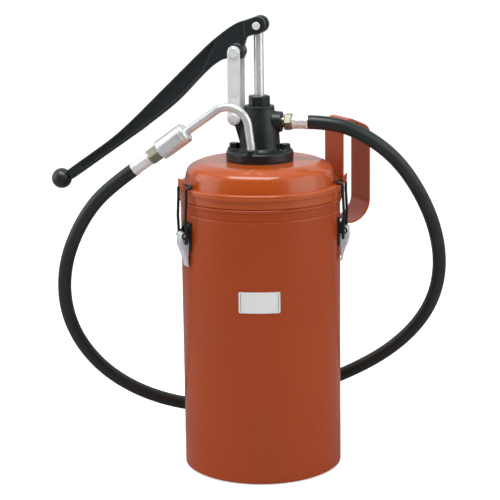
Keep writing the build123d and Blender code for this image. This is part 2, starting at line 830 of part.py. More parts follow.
# Foot valve: body screwed on the tube, ball, stop pin and strainer.
foot_cavity = foot_ball_radius + foot_ball_room
foot_top = tube_bottom + foot_thread
with BuildPart() as foot_valve_body:
    with BuildSketch(Plane.XY.offset(foot_bottom)):
        Circle(foot_body_radius)
    extrude(amount=foot_top - foot_bottom)
    chamfer(foot_valve_body.edges().group_by(Axis.Z)[-1], 1)
    with BuildSketch(Plane.XY.offset(foot_bottom)):
        Circle(foot_seat_radius)
    extrude(amount=foot_body_height, mode=Mode.SUBTRACT)
    with BuildSketch(Plane.XY.offset(foot_seat_z)):
        Circle(foot_cavity)
    extrude(amount=foot_body_height, mode=Mode.SUBTRACT)
    with BuildSketch(Plane.XY.offset(tube_bottom)):
        Circle(tube_radius)
    extrude(amount=foot_body_height, mode=Mode.SUBTRACT)
save(foot_valve_body, "foot_valve_body")

with BuildPart() as foot_ball:
    with Locations((0, 0, foot_ball_z)):
        Sphere(foot_ball_radius)
save(foot_ball, "foot_ball")

with BuildPart() as ball_stop_pin:
    with BuildSketch(Plane.YZ):
        with Locations((0, stop_pin_z)):
            Circle(stop_pin_radius)
    extrude(amount=tube_radius - tube_wall / 2, both=True)
save(ball_stop_pin, "ball_stop_pin")

with BuildPart() as strainer:
    with BuildSketch(Plane.XY.offset(foot_gap)):
        Circle(foot_body_radius - 2)
    extrude(amount=strainer_height)
    with BuildSketch(Plane.XY.offset(foot_gap + strainer_wall)):
        Circle(foot_body_radius - 2 - strainer_wall)
    extrude(amount=strainer_height, mode=Mode.SUBTRACT)
    with BuildSketch(Plane.XY.offset(foot_gap + 3)):
        with PolarLocations(foot_body_radius - 2, strainer_slots):
            Rectangle(4 * strainer_wall, 3)
    extrude(amount=strainer_height - 6, mode=Mode.SUBTRACT)
save(strainer, "strainer")

# ---------------------------------------------------------------- outlet fittings

nipple_start = outlet_face - nipple_engagement
nut_start = outlet_face + nipple_length
ferrule_start = nut_start + nut_length
hose_start = ferrule_start + ferrule_length
with BuildPart() as outlet_adapter:
    with BuildSketch(Plane.YZ.offset(outlet_face)):
        with Locations((0, outlet_z)):
            Circle(nipple_radius)
    extrude(amount=nipple_length)
    with BuildSketch(Plane.YZ.offset(nipple_start)):
        with Locations((0, outlet_z)):
            Circle(outlet_bore_radius)
    extrude(amount=outlet_face - nipple_start)
    with BuildSketch(Plane.YZ.offset(nipple_start)):
        with Locations((0, outlet_z)):
            Circle(ferrule_bore_radius)
    extrude(amount=20, mode=Mode.SUBTRACT)
save(outlet_adapter, "outlet_adapter")

with BuildPart() as outlet_hose_nut:
    with BuildSketch(Plane.YZ.offset(nut_start)):
        with Locations((0, outlet_z)):
            RegularPolygon(nut_flats / 2, 6, major_radius=False)
    extrude(amount=nut_length)
    chamfer(outlet_hose_nut.edges().group_by(Axis.X)[0], 1)
    with BuildSketch(Plane.YZ.offset(nut_start)):
        with Locations((0, outlet_z)):
            Circle(ferrule_bore_radius)
    extrude(amount=nut_length, mode=Mode.SUBTRACT)
save(outlet_hose_nut, "outlet_hose_nut")

with BuildPart() as outlet_ferrule:
    with BuildSketch(Plane.YZ.offset(ferrule_start)):
        with Locations((0, outlet_z)):
            Circle(ferrule_radius)
    extrude(amount=ferrule_length)
    chamfer(outlet_ferrule.edges().group_by(Axis.X)[0], 1.5)
    with BuildSketch(Plane.YZ.offset(ferrule_start)):
        with Locations((0, outlet_z)):
            Circle(ferrule_bore_radius)
    extrude(amount=ferrule_length, mode=Mode.SUBTRACT)
save(outlet_ferrule, "outlet_ferrule")

# ---------------------------------------------------------------- nozzle

# The bent tube stands in the flange socket and carries the sleeve, nut and ferrule.
pitch = radians(nozzle_pitch)
socket_floor = head_base + flange_thickness / 2
nozzle_foot = Vector(nozzle_x, nozzle_y, socket_floor)
nozzle_knee = Vector(nozzle_x, nozzle_y, flange_top + socket_height + nozzle_knee_rise)
nozzle_peak = Vector(nozzle_x - nozzle_lean, nozzle_y, flange_top + nozzle_rise)
down = Vector(-cos(pitch), 0, -sin(pitch))
sleeve_start = nozzle_peak + down * nozzle_reach
sleeve_end = sleeve_start + down * sleeve_length
nozzle_nut_end = sleeve_end + down * nozzle_nut_length
nozzle_ferrule_end = nozzle_nut_end + down * nozzle_ferrule_length


def along_nozzle(point):
    """Plane square to the nozzle's sloping axis at a point on it."""
    return Plane(origin=point, x_dir=(0, 1, 0), z_dir=down)


with BuildPart() as nozzle_tube:
    with BuildLine() as nozzle_path:
        FilletPolyline(nozzle_foot, nozzle_knee, nozzle_peak, sleeve_start, radius=[nozzle_knee_fillet, nozzle_fillet])
    with BuildSketch(Plane.XY.offset(socket_floor)):
        with Locations((nozzle_x, nozzle_y)):
            Circle(nozzle_radius)
            Circle(nozzle_bore_radius, mode=Mode.SUBTRACT)
    sweep(path=nozzle_path.wires()[0])
save(nozzle_tube, "nozzle_tube")

with BuildPart() as nozzle_sleeve:
    with BuildSketch(along_nozzle(sleeve_start)):
        Circle(sleeve_radius)
    extrude(amount=sleeve_length)
    chamfer(nozzle_sleeve.edges(), 1)
    with BuildSketch(along_nozzle(sleeve_start)):
        Circle(nozzle_bore_radius)
    extrude(amount=sleeve_length, mode=Mode.SUBTRACT)
save(nozzle_sleeve, "nozzle_sleeve")

with BuildPart() as nozzle_hose_nut:
    with BuildSketch(along_nozzle(sleeve_end)):
        RegularPolygon(nut_flats / 2, 6, major_radius=False)
        Circle(nozzle_bore_radius, mode=Mode.SUBTRACT)
    extrude(amount=nozzle_nut_length)
save(nozzle_hose_nut, "nozzle_hose_nut")

with BuildPart() as nozzle_ferrule:
    with BuildSketch(along_nozzle(nozzle_nut_end)):
        Circle(ferrule_radius)
        Circle(nozzle_bore_radius, mode=Mode.SUBTRACT)
    extrude(amount=nozzle_ferrule_length)
save(nozzle_ferrule, "nozzle_ferrule")

# ---------------------------------------------------------------- hose

# Route from the outlet round the right, low behind the bucket and up the left to the nozzle.
hose_end = nozzle_ferrule_end
hose_exit = Vector(hose_start, 0, outlet_z)
hose_points = [
    hose_exit,
    Vector(hose_start + 36, 0, outlet_z),
    Vector(150, 19, 485),
    Vector(190, 44, 449),
    Vector(220, 70, 399),
    Vector(241, 96, 341),
    Vector(248, 117, 282),
    Vector(238, 137, 226),
    Vector(211, 152, 176),
    Vector(168, 162, 132),
    Vector(116, 166, 98),
    Vector(57, 163, 71),
    Vector(-9, 154, 50),
    Vector(-77, 141, 37),
    Vector(-139, 124, 37),
    Vector(-194, 105, 54),
    Vector(-240, 82, 83),
    Vector(-274, 57, 122),
    Vector(-296, 31, 171),
    Vector(-303, 7, 226),
    Vector(-294, -13, 284),
    Vector(-271, -28, 338),
    Vector(-239, -37, 386),
    hose_end + down * 32,
    hose_end,
]


def corner_radius(before, corner, after):
    """Largest arc that the two runs beside a corner leave room for."""
    run_in = corner - before
    run_out = after - corner
    turn = radians(run_in.get_angle(run_out))
    return 0.45 * min(run_in.length, run_out.length) / tan(turn / 2)


hose_radii = [
    corner_radius(a, b, c) for a, b, c in zip(hose_points, hose_points[1:], hose_points[2:])
]
print("hose radii", [round(r) for r in hose_radii])

with BuildPart() as hose:
    with BuildLine() as hose_path:
        FilletPolyline(*hose_points, radius=hose_radii)
    with BuildSketch(Plane.YZ.offset(hose_start)):
        with Locations((0, outlet_z)):
            Circle(hose_radius)
    sweep(path=hose_path.wires()[0])
hose_length = hose_path.wires()[0].length
print("hose length", round(hose_length, 1))
print("hose volume", round(hose.part.volume), "section x length", round(pi * hose_radius**2 * hose_length))
save(hose, "hose")

# ---------------------------------------------------------------- latches

pivot_out = bucket_radius + latch_pivot_out
over_centre = radians(latch_over_centre)
bail_pin_out = pivot_out - latch_throw * sin(over_centre)
bail_pin_height = latch_pivot_height - latch_throw * cos(over_centre)
ear_inner = latch_cheek_half + latch_ear_gap

# Brackets riveted to the bucket, each with two ears for the lever pin.
with BuildPart() as latch_bases:
    for angle in latch_angles.values():
        with BuildSketch(radial_plane(angle)):
            with BuildLine():
                Polyline(
                    (bucket_radius - 1, latch_base_bottom),
                    (bucket_radius + latch_base_plate, latch_base_bottom),
                    (bucket_radius + latch_base_plate, latch_base_top),
                    (bucket_radius - 1, latch_base_top),
                    close=True,
                )
            make_face()
        extrude(amount=latch_base_half_width, both=True)
        with BuildSketch(radial_plane(angle)):
            with BuildLine():
                Polyline(
                    (bucket_radius, latch_base_top - 2),
                    (bucket_radius, latch_pivot_height - 4),
                    (pivot_out, latch_pivot_height - 5),
                    (pivot_out, latch_pivot_height + 5),
                    close=True,
                )
            make_face()
            with Locations((pivot_out, latch_pivot_height)):
                Circle(latch_ear_radius)
        extrude(amount=ear_inner + latch_ear_sheet, both=True)
        with BuildSketch(radial_plane(angle)):
            with Locations((pivot_out + latch_ear_radius, latch_pivot_height)):
                Rectangle(2 * (latch_pivot_out + latch_ear_radius - latch_base_plate), through)
        extrude(amount=ear_inner, both=True, mode=Mode.SUBTRACT)
        with BuildSketch(radial_plane(angle)):
            with Locations((pivot_out, latch_pivot_height)):
                Circle(latch_pin_radius)
        extrude(amount=through, both=True, mode=Mode.SUBTRACT)
    with BuildSketch(Plane.XY.offset(latch_base_bottom)):
        Circle(bucket_radius)
    extrude(amount=latch_base_drop + latch_base_rise, mode=Mode.SUBTRACT)
save(latch_bases, "latch_bases")

# Two dome rivets through each bracket.
with BuildPart() as latch_rivets:
    for angle in latch_angles.values():
        for height in (latch_base_bottom + latch_rivet_edge, latch_base_top - latch_rivet_edge):
            with BuildSketch(tangent_plane(angle, bucket_radius + latch_base_plate, height)):
                Circle(latch_rivet_radius)
            extrude(amount=latch_rivet_height, taper=rivet_taper)
save(latch_rivets, "latch_rivets")

with BuildPart() as latch_pivot_pins:
    for angle in latch_angles.values():
        with BuildSketch(radial_plane(angle)):
            with Locations((pivot_out, latch_pivot_height)):
                Circle(latch_pin_radius)
        extrude(amount=ear_inner + latch_ear_sheet + 0.6, both=True)
save(latch_pivot_pins, "latch_pivot_pins")

# Cam levers and wire bails, one of each per latch. Bail places are out, up and sideways.
neck_out = lid_bead_radius + bail_neck_proud
bail_half = [
    (bail_pin_out, bail_pin_height, latch_cheek_half - latch_sheet),
    (bail_pin_out, bail_pin_height, bail_half_width),
    (bail_pin_out + bail_bow_out, bail_pin_height + bail_bow_rise, bail_half_width),
    (neck_out, lid_bead_top - bail_neck_drop, bail_half_width),
    (neck_out, lid_bead_top + bail_neck_rise, bail_half_width),
    (bail_hook_out, bail_hook_height, bail_half_width),
]
bail_places = bail_half + [(out, up, -across) for out, up, across in reversed(bail_half)]
half_bends = [bail_corner, *bail_bow_bends, bail_hook_bend, bail_hook_bend]
bail_bends = half_bends + half_bends[::-1]
for place, angle in latch_angles.items():
    with BuildPart() as latch_lever:
        with BuildSketch(radial_plane(angle)) as lever_side:
            with BuildLine():
                heel = ThreePointArc(
                    (pivot_out - 4.6, latch_pivot_height - 1),
                    (pivot_out, latch_pivot_height + 4.7),
                    (pivot_out + 4.6, latch_pivot_height - 1),
                )
                Spline(
                    heel @ 1,
                    (pivot_out + 3.4, latch_pivot_height - 20),
                    (bucket_radius + 7.4, latch_tip_height + 14),
                    (bucket_radius + 4.5, latch_tip_height),
                )
                Line((bucket_radius + 4.5, latch_tip_height), (bucket_radius + 2.8, latch_tip_height + 1))
                Spline(
                    (bucket_radius + 2.8, latch_tip_height + 1),
                    (bucket_radius + 3.6, latch_tip_height + 16),
                    (bail_pin_out - 5, bail_pin_height - 4),
                    heel @ 0,
                )
            make_face()
        extrude(amount=latch_cheek_half, both=True)
        with BuildSketch(radial_plane(angle)):
            with BuildLine():
                Polyline(
                    (bucket_radius - 2, latch_pivot_height + 8),
                    (pivot_out + 1.5, latch_pivot_height + 8),
                    (pivot_out + 1.5, latch_pivot_height - 10),
                    (bucket_radius + 5.5, latch_tip_height + 20),
                    (bucket_radius - 2, latch_tip_height + 20),
                    close=True,
                )
            make_face()
        extrude(amount=latch_cheek_half - latch_sheet, both=True, mode=Mode.SUBTRACT)
        with BuildSketch(radial_plane(angle)):
            with Locations((pivot_out, latch_pivot_height)):
                Circle(latch_pin_radius + running_clearance)
            with Locations((bail_pin_out, bail_pin_height)):
                Circle(bail_radius + running_clearance)
        extrude(amount=through, both=True, mode=Mode.SUBTRACT)
    save(latch_lever, f"latch_lever_{place}")

    side = radial_plane(angle)
    with BuildPart() as latch_bail:
        with BuildLine() as bail_path:
            FilletPolyline(*[side.from_local_coords(Vector(*spot)) for spot in bail_places], radius=bail_bends)
        with BuildSketch(Plane(origin=bail_path.wires()[0] @ 0, z_dir=bail_path.wires()[0] % 0)):
            Circle(bail_radius)
        sweep(path=bail_path.wires()[0])
    save(latch_bail, f"latch_bail_{place}")

# ---------------------------------------------------------------- carry handle

# One bent strap: foot on the bucket, upright, sloping grip, outer leg and return foot.
foot_line = bucket_radius + strap / 2 + 0.2
upright = bucket_radius + handle_stand_off
outer = upright + handle_reach
return_line = foot_line + strap + 0.1
with BuildPart() as carry_handle:
    with BuildSketch(radial_plane(handle_angle)):
        with BuildLine() as strap_line:
            FilletPolyline(
                (foot_line, handle_foot),
                (foot_line, bucket_height - 22),
                (upright, bucket_height - 2),
                (upright, handle_top),
                (outer, handle_top - handle_slope),
                (outer, handle_bottom),
                (return_line, handle_bottom),
                (return_line, handle_foot),
                radius=[14.0, 14.0, 12.0, 14.0, 32.0, 5.0],
            )
        trace(line_width=strap)
    extrude(amount=strap_width / 2, both=True)
save(carry_handle, "carry_handle")

with BuildPart() as handle_rivets_part:
    for row in range(handle_rivet_rows):
        for shift in (-handle_rivet_side, handle_rivet_side):
            height = handle_foot + handle_rivet_pitch * (row + 0.7)
            plane = tangent_plane(handle_angle, return_line + strap / 2, height)
            with BuildSketch(plane):
                with Locations((shift, 0)):
                    Circle(handle_rivet_radius)
            extrude(amount=handle_rivet_height, taper=rivet_taper)
save(handle_rivets_part, "handle_rivets")
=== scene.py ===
import json
from math import cos, pi, radians, sin

import bmesh
import bpy
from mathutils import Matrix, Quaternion, Vector

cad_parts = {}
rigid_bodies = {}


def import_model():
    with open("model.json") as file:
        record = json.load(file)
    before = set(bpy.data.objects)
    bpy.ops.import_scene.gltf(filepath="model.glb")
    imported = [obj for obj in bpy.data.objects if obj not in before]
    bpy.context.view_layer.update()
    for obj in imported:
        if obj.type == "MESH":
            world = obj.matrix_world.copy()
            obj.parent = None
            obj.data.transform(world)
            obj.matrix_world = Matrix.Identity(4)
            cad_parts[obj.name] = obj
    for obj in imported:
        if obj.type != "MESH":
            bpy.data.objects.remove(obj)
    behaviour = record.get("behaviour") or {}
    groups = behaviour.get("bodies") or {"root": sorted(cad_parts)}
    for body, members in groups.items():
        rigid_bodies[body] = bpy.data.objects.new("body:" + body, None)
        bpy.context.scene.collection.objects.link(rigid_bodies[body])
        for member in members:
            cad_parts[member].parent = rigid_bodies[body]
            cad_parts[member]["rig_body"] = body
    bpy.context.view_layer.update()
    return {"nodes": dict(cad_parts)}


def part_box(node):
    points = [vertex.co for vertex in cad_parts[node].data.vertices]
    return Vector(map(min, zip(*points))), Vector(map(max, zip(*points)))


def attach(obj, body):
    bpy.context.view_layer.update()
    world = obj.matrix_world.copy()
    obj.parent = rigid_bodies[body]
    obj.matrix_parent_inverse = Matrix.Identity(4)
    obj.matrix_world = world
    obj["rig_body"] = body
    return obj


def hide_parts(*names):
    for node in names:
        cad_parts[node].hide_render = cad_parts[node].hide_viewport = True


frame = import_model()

# ------------------------------------------------------------------ camera
# A product view from the front, a little to the right and a little above the lid.
# The lens is long, so that the bucket's sides stay close to parallel.
aim = Vector((0.0, 0.0, 0.33))
view_turn = radians(12.0)
view_rise = radians(12.16)
view_roll = radians(-0.67)
view_distance = 2.443
ahead = Vector((-sin(view_turn) * cos(view_rise), cos(view_turn) * cos(view_rise), -sin(view_rise)))
camera_data = bpy.data.cameras.new("product_camera")
camera_data.lens = 121.8
camera_data.sensor_width = 36.0
camera_data.shift_x = -0.0218
camera_data.shift_y = -0.0174
camera_data.clip_end = 60.0
camera = bpy.data.objects.new("product_camera", camera_data)
bpy.context.scene.collection.objects.link(camera)
camera.location = aim - ahead * view_distance
camera.rotation_mode = "QUATERNION"
camera.rotation_quaternion = ahead.to_track_quat("-Z", "Y") @ Quaternion((0, 0, 1), view_roll)
bpy.context.scene.camera = camera
bpy.context.scene.view_settings.view_transform = "Standard"


# ------------------------------------------------------------------ studio
# A seamless white paper lies flat under the pump and reaches far beyond it on every side.
# Two large soft boxes stand at the sides and a long one hangs overhead.
def blank_material(name):
    """A new node material, with its Principled shader."""
    made = bpy.data.materials.new(name)
    made.use_nodes = True
    return made, made.node_tree, made.node_tree.nodes["Principled BSDF"]


def link_piece(name, mesh):
    """A new object for a mesh, in the scene."""
    piece = bpy.data.objects.new(name, mesh)
    bpy.context.scene.collection.objects.link(piece)
    return piece


paper_reach = 40.0
paper_mesh = bpy.data.meshes.new("paper_sweep")
paper_form = bmesh.new()
bmesh.ops.create_grid(paper_form, x_segments=2, y_segments=2, size=paper_reach)
paper_form.to_mesh(paper_mesh)
paper_form.free()
paper = link_piece("paper_sweep", paper_mesh)
paper_material, paper_tree, paper_shader = blank_material("white_paper")
paper_noise = paper_tree.nodes.new("ShaderNodeTexNoise")
paper_noise.inputs["Scale"].default_value = 40.0
paper_ramp = paper_tree.nodes.new("ShaderNodeValToRGB")
paper_ramp.color_ramp.elements[0].color = (0.86, 0.86, 0.86, 1)
paper_ramp.color_ramp.elements[1].color = (0.9, 0.9, 0.895, 1)
paper_tree.links.new(paper_noise.outputs["Fac"], paper_ramp.inputs["Fac"])
paper_path = paper_tree.nodes.new("ShaderNodeLightPath")
paper_dim = paper_tree.nodes.new("ShaderNodeMixRGB")
paper_dim.inputs["Color2"].default_value = (0.30, 0.30, 0.30, 1)
paper_tree.links.new(paper_path.outputs["Is Glossy Ray"], paper_dim.inputs["Fac"])
paper_tree.links.new(paper_ramp.outputs["Color"], paper_dim.inputs["Color1"])
paper_tree.links.new(paper_dim.outputs["Color"], paper_shader.inputs["Base Color"])
paper_glow = paper_tree.nodes.new("ShaderNodeMath")
paper_glow.operation = "MULTIPLY"
paper_glow.inputs[1].default_value = 0.62
paper_tree.links.new(paper_path.outputs["Is Camera Ray"], paper_glow.inputs[0])
paper_tree.links.new(paper_glow.outputs[0], paper_shader.inputs["Emission Strength"])
paper_shader.inputs["Emission Color"].default_value = (1, 1, 1, 1)
paper_shader.inputs["Roughness"].default_value = 0.9
paper_shader.inputs["Specular IOR Level"].default_value = 0.1
paper_mesh.materials.append(paper_material)

room = bpy.data.worlds.new("studio_room")
bpy.context.scene.world = room
room.use_nodes = True
room_nodes = room.node_tree.nodes
room_links = room.node_tree.links
room_nodes.clear()
room_out = room_nodes.new("ShaderNodeOutputWorld")
room_place = room_nodes.new("ShaderNodeTexCoord")
room_split = room_nodes.new("ShaderNodeSeparateXYZ")
room_ramp = room_nodes.new("ShaderNodeValToRGB")
room_span = room_nodes.new("ShaderNodeMapRange")
room_span.inputs["From Min"].default_value = -1.0
room_span.inputs["From Max"].default_value = 1.0
room_ramp.color_ramp.elements[0].position = 0.0
room_ramp.color_ramp.elements[0].color = (0.05, 0.05, 0.05, 1)
room_ramp.color_ramp.elements[1].position = 0.62
room_ramp.color_ramp.elements[1].color = (0.62, 0.62, 0.63, 1)
room_seen = room_nodes.new("ShaderNodeBackground")
room_seen.inputs["Color"].default_value = (1, 1, 1, 1)
room_lit = room_nodes.new("ShaderNodeBackground")
room_path = room_nodes.new("ShaderNodeLightPath")
room_mix = room_nodes.new("ShaderNodeMixShader")
room_links.new(room_place.outputs["Generated"], room_split.inputs[0])
room_links.new(room_split.outputs["Y"], room_span.inputs["Value"])
room_links.new(room_span.outputs["Result"], room_ramp.inputs["Fac"])
room_links.new(room_ramp.outputs["Color"], room_lit.inputs["Color"])
room_links.new(room_path.outputs["Is Camera Ray"], room_mix.inputs["Fac"])
room_links.new(room_lit.outputs[0], room_mix.inputs[1])
room_links.new(room_seen.outputs[0], room_mix.inputs[2])
room_links.new(room_mix.outputs[0], room_out.inputs["Surface"])


lamp_aim = Vector((0.0, 0.0, 0.35))


def soft_box(name, place, width, height, power):
    """A rectangular studio lamp, aimed at the upper part of the bucket."""
    lamp = bpy.data.lights.new(name, "AREA")
    lamp.shape = "RECTANGLE"
    lamp.size = width
    lamp.size_y = height
    lamp.energy = power
    stand = bpy.data.objects.new(name, lamp)
    bpy.context.scene.collection.objects.link(stand)
    stand.location = place
    stand.rotation_mode = "QUATERNION"
    stand.rotation_quaternion = (lamp_aim - Vector(place)).to_track_quat("-Z", "Y")


soft_box("left_soft_box", (-2.4, -0.5, 1.0), width=2.2, height=2.4, power=20)
soft_box("right_soft_box", (2.4, -0.4, 1.0), width=2.2, height=2.4, power=20)
soft_box("top_soft_box", (-0.1, -0.6, 2.1), width=1.7, height=0.8, power=32)

# ------------------------------------------------------------------ hose
# High-pressure rubber hose, 1.41 m long and 20 mm outside, with a smooth moulded cover.
# It is crimped to the outlet and to the stowed nozzle.
hose_radius = 0.010
hose_route = [
    (0.0708, 0.0, 0.5047),
    (0.1068, 0.0, 0.5047),
    (0.150, 0.019, 0.485),
    (0.190, 0.044, 0.449),
    (0.220, 0.070, 0.399),
    (0.241, 0.096, 0.341),
    (0.248, 0.117, 0.282),
    (0.238, 0.137, 0.226),
    (0.211, 0.152, 0.176),
    (0.168, 0.162, 0.132),
    (0.116, 0.166, 0.098),
    (0.057, 0.163, 0.071),
    (-0.009, 0.154, 0.050),
    (-0.077, 0.141, 0.037),
    (-0.139, 0.124, 0.037),
    (-0.194, 0.105, 0.054),
    (-0.240, 0.082, 0.083),
    (-0.274, 0.057, 0.122),
    (-0.296, 0.031, 0.171),
    (-0.303, 0.007, 0.226),
    (-0.294, -0.013, 0.284),
    (-0.271, -0.028, 0.338),
    (-0.239, -0.037, 0.386),
    (-0.2023, -0.038, 0.4187),
    (-0.1763, -0.038, 0.4373),
]
hose_curve = bpy.data.curves.new("rubber_hose", "CURVE")
hose_curve.dimensions = "3D"
hose_curve.bevel_depth = hose_radius
hose_curve.bevel_resolution = 10
hose_curve.resolution_u = 16
hose_curve.use_fill_caps = True
hose_line = hose_curve.splines.new("NURBS")
hose_line.points.add(len(hose_route) - 1)
for station, spot in zip(hose_line.points, hose_route):
    station.co = (*spot, 1.0)
hose_line.order_u = 3
hose_line.use_endpoint_u = True
hose = link_piece("rubber_hose", hose_curve)


def effect_group(name, inputs, outputs):
    """A shader node group with named sockets. Numbers and colours are given by their default."""
    tree = bpy.data.node_groups.new(name, "ShaderNodeTree")
    for label, start in inputs.items():
        kind = "NodeSocketColor" if isinstance(start, tuple) else "NodeSocketFloat"
        socket = tree.interface.new_socket(label, in_out="INPUT", socket_type=kind)
        socket.default_value = start
    for label, kind in outputs.items():
        tree.interface.new_socket(label, in_out="OUTPUT", socket_type=kind)
    return tree, tree.nodes.new("NodeGroupInput"), tree.nodes.new("NodeGroupOutput")


def add_node(tree, kind, values=(), wires=()):
    """One node, with numbers set on its sockets and wires from other sockets."""
    node = tree.nodes.new(kind)
    for socket, value in dict(values).items():
        node.inputs[socket].default_value = value
    for socket, source in dict(wires).items():
        tree.links.new(source, node.inputs[socket])
    return node


def add_math(tree, operation, first, second):
    """A math node on two sockets, or on a socket and a number."""
    node = tree.nodes.new("ShaderNodeMath")
    node.operation = operation
    for place, source in enumerate((first, second)):
        if isinstance(source, (int, float)):
            node.inputs[place].default_value = source
        else:
            tree.links.new(source, node.inputs[place])
    return node.outputs[0]


def add_blend(tree, mask, first, second):
    """A colour between two colours, by a mask socket."""
    node = tree.nodes.new("ShaderNodeMix")
    node.data_type = "RGBA"
    tree.links.new(mask, node.inputs["Factor"])
    for socket, source in (("A", first), ("B", second)):
        tree.links.new(source, [s for s in node.inputs if s.name == socket and s.type == "RGBA"][0])
    return [s for s in node.outputs if s.type == "RGBA"][0]


def add_span(tree, source, low, high, to_low, to_high):
    """A socket's span from low to high, made to run between two other values."""
    values = {"From Min": low, "From Max": high}
    wires = {"Value": source}
    for label, end in (("To Min", to_low), ("To Max", to_high)):
        if isinstance(end, (int, float)):
            values[label] = end
        else:
            wires[label] = end
    return add_node(tree, "ShaderNodeMapRange", values, wires).outputs["Result"]


def object_place(tree):
    """The object's own coordinates, in metres."""
    return tree.nodes.new("ShaderNodeTexCoord").outputs["Object"]


COLOUR_OUT = "NodeSocketColor"
VALUE_OUT = "NodeSocketFloat"

rubber_effect, rubber_in, rubber_out = effect_group(
    "rubber_cover",
    {
        "Rubber": (0.02, 0.02, 0.02, 1),
        "Dust": (0.1, 0.1, 0.1, 1),
        "Roughness Low": 0.4,
        "Roughness High": 0.6,
    },
    {"Color": COLOUR_OUT, "Roughness": VALUE_OUT, "Height": VALUE_OUT},
)
rubber_place = object_place(rubber_effect)
rubber_cloud = add_node(
    rubber_effect,
    "ShaderNodeTexNoise",
    {"Scale": 26.0, "Detail": 5.0},
    {"Vector": rubber_place},
)
rubber_grain = add_node(
    rubber_effect,
    "ShaderNodeTexNoise",
    {"Scale": 900.0, "Detail": 3.0},
    {"Vector": rubber_place},
)
rubber_weave = add_node(rubber_effect, "ShaderNodeTexVoronoi", {"Scale": 420.0}, {"Vector": rubber_place})
rubber_dust = add_span(rubber_effect, rubber_cloud.outputs["Fac"], 0.5, 0.8, 0.0, 0.5)
rubber_shade = add_blend(rubber_effect, rubber_dust, rubber_in.outputs["Rubber"], rubber_in.outputs["Dust"])
rubber_rough = add_span(
    rubber_effect,
    rubber_cloud.outputs["Fac"],
    0.3,
    0.7,
    rubber_in.outputs["Roughness Low"],
    rubber_in.outputs["Roughness High"],
)
weave_share = 0.5
rubber_height = add_math(rubber_effect, "MULTIPLY", rubber_weave.outputs["Distance"], weave_share)
rubber_height = add_math(rubber_effect, "ADD", rubber_height, rubber_grain.outputs["Fac"])
rubber_effect.links.new(rubber_shade, rubber_out.inputs["Color"])
rubber_effect.links.new(rubber_rough, rubber_out.inputs["Roughness"])
rubber_effect.links.new(rubber_height, rubber_out.inputs["Height"])


def effect_material(name, effect, values, depth, **constants):
    """A material whose colour, roughness and bump come from an effect group, and the rest from constants."""
    made, tree, shader = blank_material(name)
    group = tree.nodes.new("ShaderNodeGroup")
    group.node_tree = effect
    for socket, value in values.items():
        group.inputs[socket].default_value = value
    tree.links.new(group.outputs["Color"], shader.inputs["Base Color"])
    tree.links.new(group.outputs["Roughness"], shader.inputs["Roughness"])
    bump = add_node(
        tree,
        "ShaderNodeBump",
        {"Distance": depth, "Strength": 1.0},
        {"Height": group.outputs["Height"]},
    )
    tree.links.new(bump.outputs["Normal"], shader.inputs["Normal"])
    for socket, value in constants.items():
        shader.inputs[socket.replace("_", " ")].default_value = value
    return made


hose_material = effect_material(
    "hose_rubber_cover",
    rubber_effect,
    {
        "Rubber": (0.012, 0.017, 0.017, 1),
        "Dust": (0.036, 0.044, 0.043, 1),
        "Roughness Low": 0.34,
        "Roughness High": 0.46,
    },
    depth=0.00012,
)
hose_curve.materials.append(hose_material)
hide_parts("hose")
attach(hose, "bucket")

# ------------------------------------------------------------------ bucket
# Rolled and seamed sheet-steel bucket, 1.5 mm thick, dipped in orange-red stoving enamel.
# The enamel is thick and glossy, with a faint orange peel and a slightly wavy wall.
enamel_effect, enamel_in, enamel_out = effect_group(
    "stoved_enamel",
    {
        "Paint": (0.5, 0.1, 0.03, 1),
        "Deep Paint": (0.4, 0.07, 0.02, 1),
        "Roughness Low": 0.1,
        "Roughness High": 0.2,
        "Wave": 1.0,
    },
    {"Color": COLOUR_OUT, "Roughness": VALUE_OUT, "Height": VALUE_OUT},
)
enamel_place = object_place(enamel_effect)
enamel_peel = add_node(
    enamel_effect,
    "ShaderNodeTexNoise",
    {"Scale": 260.0, "Detail": 2.0},
    {"Vector": enamel_place},
)
enamel_wave = add_node(
    enamel_effect,
    "ShaderNodeTexNoise",
    {"Scale": 14.0, "Detail": 1.0},
    {"Vector": enamel_place},
)
enamel_cloud = add_node(
    enamel_effect,
    "ShaderNodeTexNoise",
    {"Scale": 9.0, "Detail": 4.0},
    {"Vector": enamel_place},
)
cloud_low, cloud_high = 0.15, 0.85
enamel_shade = add_blend(
    enamel_effect,
    add_span(enamel_effect, enamel_cloud.outputs["Fac"], cloud_low, cloud_high, 0.0, 1.0),
    enamel_in.outputs["Paint"],
    enamel_in.outputs["Deep Paint"],
)
enamel_rough = add_span(
    enamel_effect,
    enamel_cloud.outputs["Fac"],
    cloud_low,
    cloud_high,
    enamel_in.outputs["Roughness Low"],
    enamel_in.outputs["Roughness High"],
)
enamel_swell = add_math(enamel_effect, "MULTIPLY", enamel_wave.outputs["Fac"], enamel_in.outputs["Wave"])
peel_share = 0.12
enamel_height = add_math(
    enamel_effect,
    "ADD",
    enamel_swell,
    add_math(enamel_effect, "MULTIPLY", enamel_peel.outputs["Fac"], peel_share),
)
enamel_effect.links.new(enamel_shade, enamel_out.inputs["Color"])
enamel_effect.links.new(enamel_rough, enamel_out.inputs["Roughness"])
enamel_effect.links.new(enamel_height, enamel_out.inputs["Height"])

body_enamel = effect_material(
    "bucket_enamel",
    enamel_effect,
    {
        "Paint": (0.385, 0.056, 0.008, 1),
        "Deep Paint": (0.355, 0.050, 0.007, 1),
        "Roughness Low": 0.22,
        "Roughness High": 0.30,
        "Wave": 1.0,
    },
    depth=0.0002,
    Coat_Weight=0.15,
    Coat_Roughness=0.10,
    Specular_IOR_Level=0.30,
)


def paint_node(node, material):
    """Gives a CAD node its real finish."""
    mesh = frame["nodes"][node].data
    mesh.materials.clear()
    mesh.materials.append(material)


